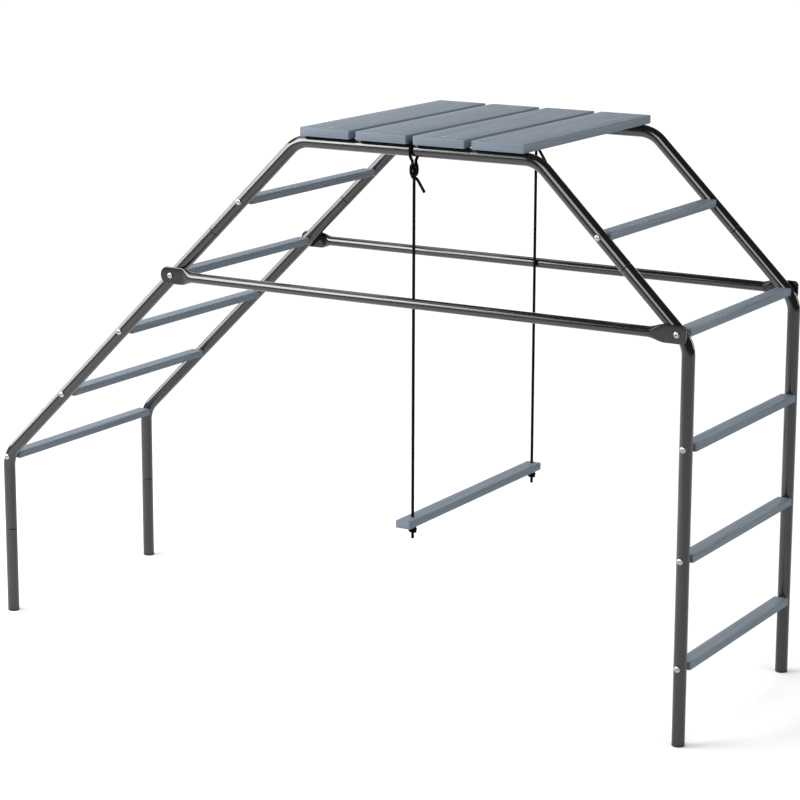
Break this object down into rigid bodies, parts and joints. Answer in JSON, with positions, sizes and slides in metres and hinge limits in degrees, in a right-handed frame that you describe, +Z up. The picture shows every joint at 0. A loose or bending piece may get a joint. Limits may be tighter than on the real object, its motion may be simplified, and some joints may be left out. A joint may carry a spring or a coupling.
{
  "type": "monkey bars",
  "caption": "Climbing frame of bent steel tubes with wooden rungs up a long slope and a ladder, a plank platform on top and a rope trapeze swing under it.",
  "frame": {"origin": "on the ground, at the middle of the box round the whole object", "axes": "+X along the frame from the long left slope to the tall right ladder, +Y across it from the front side frame to the back one, +Z up"},
  "size_m": [2.4386, 0.8418, 1.6753],
  "materials": {
    "painted_steel": "gloss powder coat",
    "painted_wood": "matt blue-grey stain over planed timber",
    "rope": "braided black cord",
    "zinc_bolt": "zinc plated",
    "bronze_screw": "dull yellow passivated",
    "foot_plastic": "matt"
  },
  "bodies": {
    "frame": {"front_left_foot_leg": "painted_steel", "front_left_bent_tube": "painted_steel", "front_top_arch_tube": "painted_steel", "front_right_bent_tube": "painted_steel", "back_left_foot_leg": "painted_steel", "back_left_bent_tube": "painted_steel", "back_top_arch_tube": "painted_steel", "back_right_bent_tube": "painted_steel", "front_left_foot_cap": "foot_plastic", "front_right_foot_cap": "foot_plastic", "back_left_foot_cap": "foot_plastic", "back_right_foot_cap": "foot_plastic", "front_tie_bar": "painted_steel", "back_tie_bar": "painted_steel", "rung_left_1": "painted_wood", "rung_left_2": "painted_wood", "rung_left_3": "painted_wood", "rung_left_4": "painted_wood", "rung_left_5": "painted_wood", "rung_right_1": "painted_wood", "rung_right_2": "painted_wood", "rung_right_3": "painted_wood", "rung_right_4": "painted_wood", "rung_right_5": "painted_wood", "bolt_left_1_front": "zinc_bolt", "bolt_left_1_back": "zinc_bolt", "bolt_left_2_front": "zinc_bolt", "bolt_left_2_back": "zinc_bolt", "bolt_left_3_front": "zinc_bolt", "bolt_left_3_back": "zinc_bolt", "bolt_left_4_front": "zinc_bolt", "bolt_left_4_back": "zinc_bolt", "bolt_left_5_front": "zinc_bolt", "bolt_left_5_back": "zinc_bolt", "bolt_right_1_front": "zinc_bolt", "bolt_right_1_back": "zinc_bolt", "bolt_right_2_front": "zinc_bolt", "bolt_right_2_back": "zinc_bolt", "bolt_right_3_front": "zinc_bolt", "bolt_right_3_back": "zinc_bolt", "bolt_right_4_front": "zinc_bolt", "bolt_right_4_back": "zinc_bolt", "bolt_right_5_front": "zinc_bolt", "bolt_right_5_back": "zinc_bolt", "deck_board_1": "painted_wood", "deck_board_2": "painted_wood", "deck_board_3": "painted_wood", "deck_board_4": "painted_wood", "deck_screw_front_1": "bronze_screw", "deck_screw_front_2": "bronze_screw", "deck_screw_front_3": "bronze_screw", "deck_screw_front_4": "bronze_screw", "deck_screw_back_1": "bronze_screw", "deck_screw_back_2": "bronze_screw", "deck_screw_back_3": "bronze_screw", "deck_screw_back_4": "bronze_screw"},
    "swing": {"swing_bar": "painted_wood", "swing_rope_front": "rope", "swing_rope_back": "rope"}
  },
  "joints": [
    {"name": "swing", "type": "hinge", "parent": "frame", "child": "swing", "pos_m": [0.3225, 0.0105, 1.6541], "axis": [0, 1, 0], "range_deg": [-30, 30]}
  ]
}
